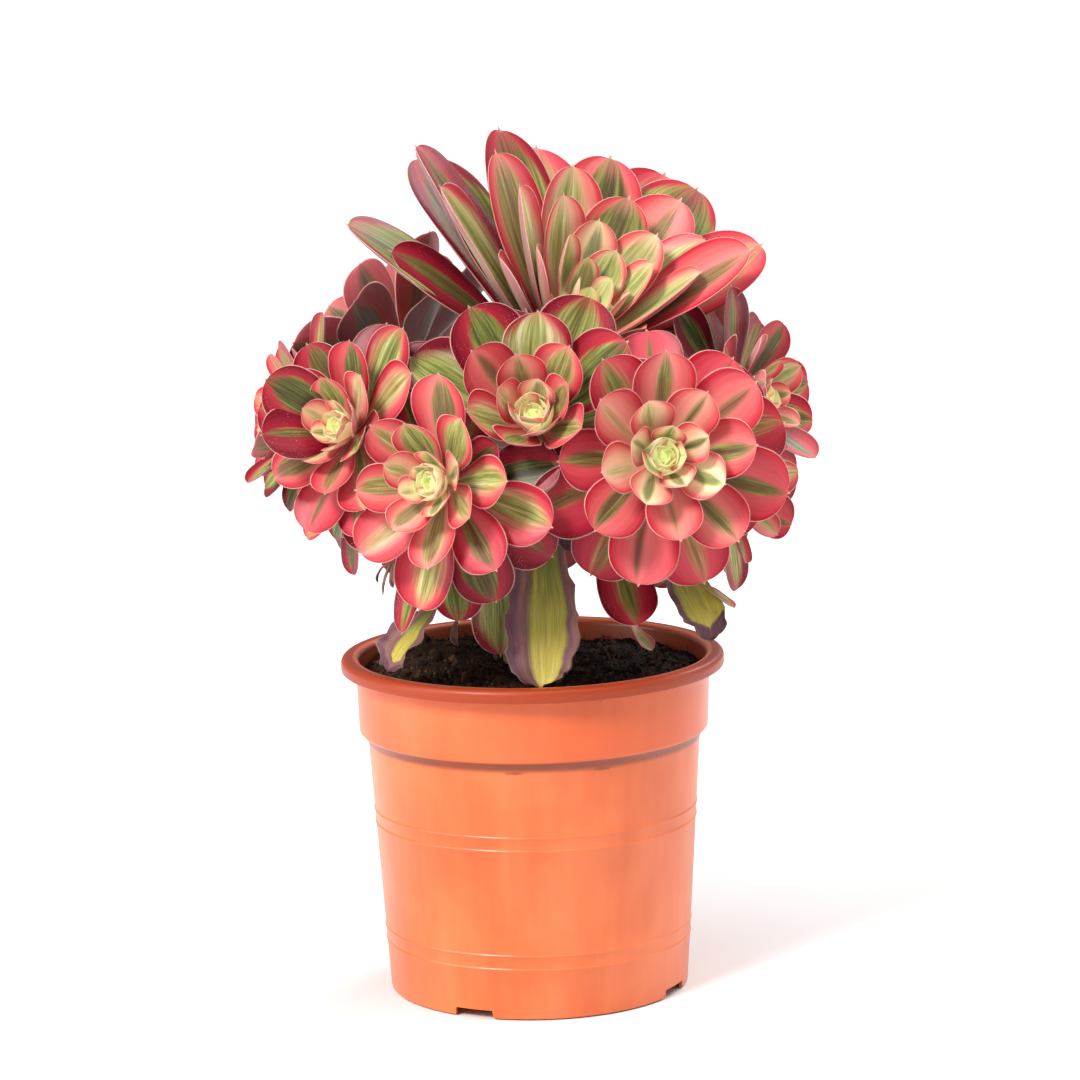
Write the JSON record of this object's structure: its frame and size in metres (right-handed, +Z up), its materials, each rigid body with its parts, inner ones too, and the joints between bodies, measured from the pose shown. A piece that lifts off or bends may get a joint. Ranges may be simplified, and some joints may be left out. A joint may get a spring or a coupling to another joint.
{
  "type": "potted succulent",
  "caption": "Branched tree houseleek with variegated leaf rosettes, rooted in soil in a moulded nursery pot with a rolled lip, a stepped collar and a notched foot.",
  "frame": {"origin": "centre of the pot's foot, on the surface that it stands on", "axes": "+Z up along the pot's axis, -Y towards the plant's front, +X to the right seen from the front"},
  "size_m": [0.2497, 0.209, 0.3786],
  "materials": {
    "terracotta_plastic": "satin moulded plastic in terracotta orange, lightly scuffed",
    "potting_soil": "damp dark potting mix of peat and bark",
    "stem_bark": "grey-brown bark with leaf scars",
    "variegated_leaf": "waxy leaf, crimson and pink with a green stripe and a cream heart",
    "withered_leaf": "limp leaf, yellow-green drying to mauve-brown edges"
  },
  "bodies": {
    "root": {"pot": "terracotta_plastic", "soil": "potting_soil", "trunk": "stem_bark", "branch_front_left": "stem_bark", "branch_front_right": "stem_bark", "branch_front_centre": "stem_bark", "branch_left": "stem_bark", "branch_right": "stem_bark", "branch_lower_right": "stem_bark", "branch_lower_left": "stem_bark", "branch_outer_left": "stem_bark", "branch_back_right": "stem_bark", "branch_back_left": "stem_bark", "branch_back_centre": "stem_bark", "rosette_front_left": "variegated_leaf", "rosette_front_right": "variegated_leaf", "rosette_front_centre": "variegated_leaf", "rosette_left": "variegated_leaf", "rosette_top": "variegated_leaf", "rosette_right": "variegated_leaf", "rosette_lower_right": "variegated_leaf", "rosette_lower_left": "variegated_leaf", "rosette_outer_left": "variegated_leaf", "rosette_back_right": "variegated_leaf", "rosette_back_left": "variegated_leaf", "rosette_back_centre": "variegated_leaf", "hanging_leaf_left": "variegated_leaf", "hanging_leaf_right": "variegated_leaf", "drooping_leaf_front": "variegated_leaf", "drooping_leaf_left": "variegated_leaf", "withered_leaf_front": "withered_leaf", "withered_leaf_right": "withered_leaf", "withered_leaf_left": "withered_leaf"}
  },
  "joints": []
}
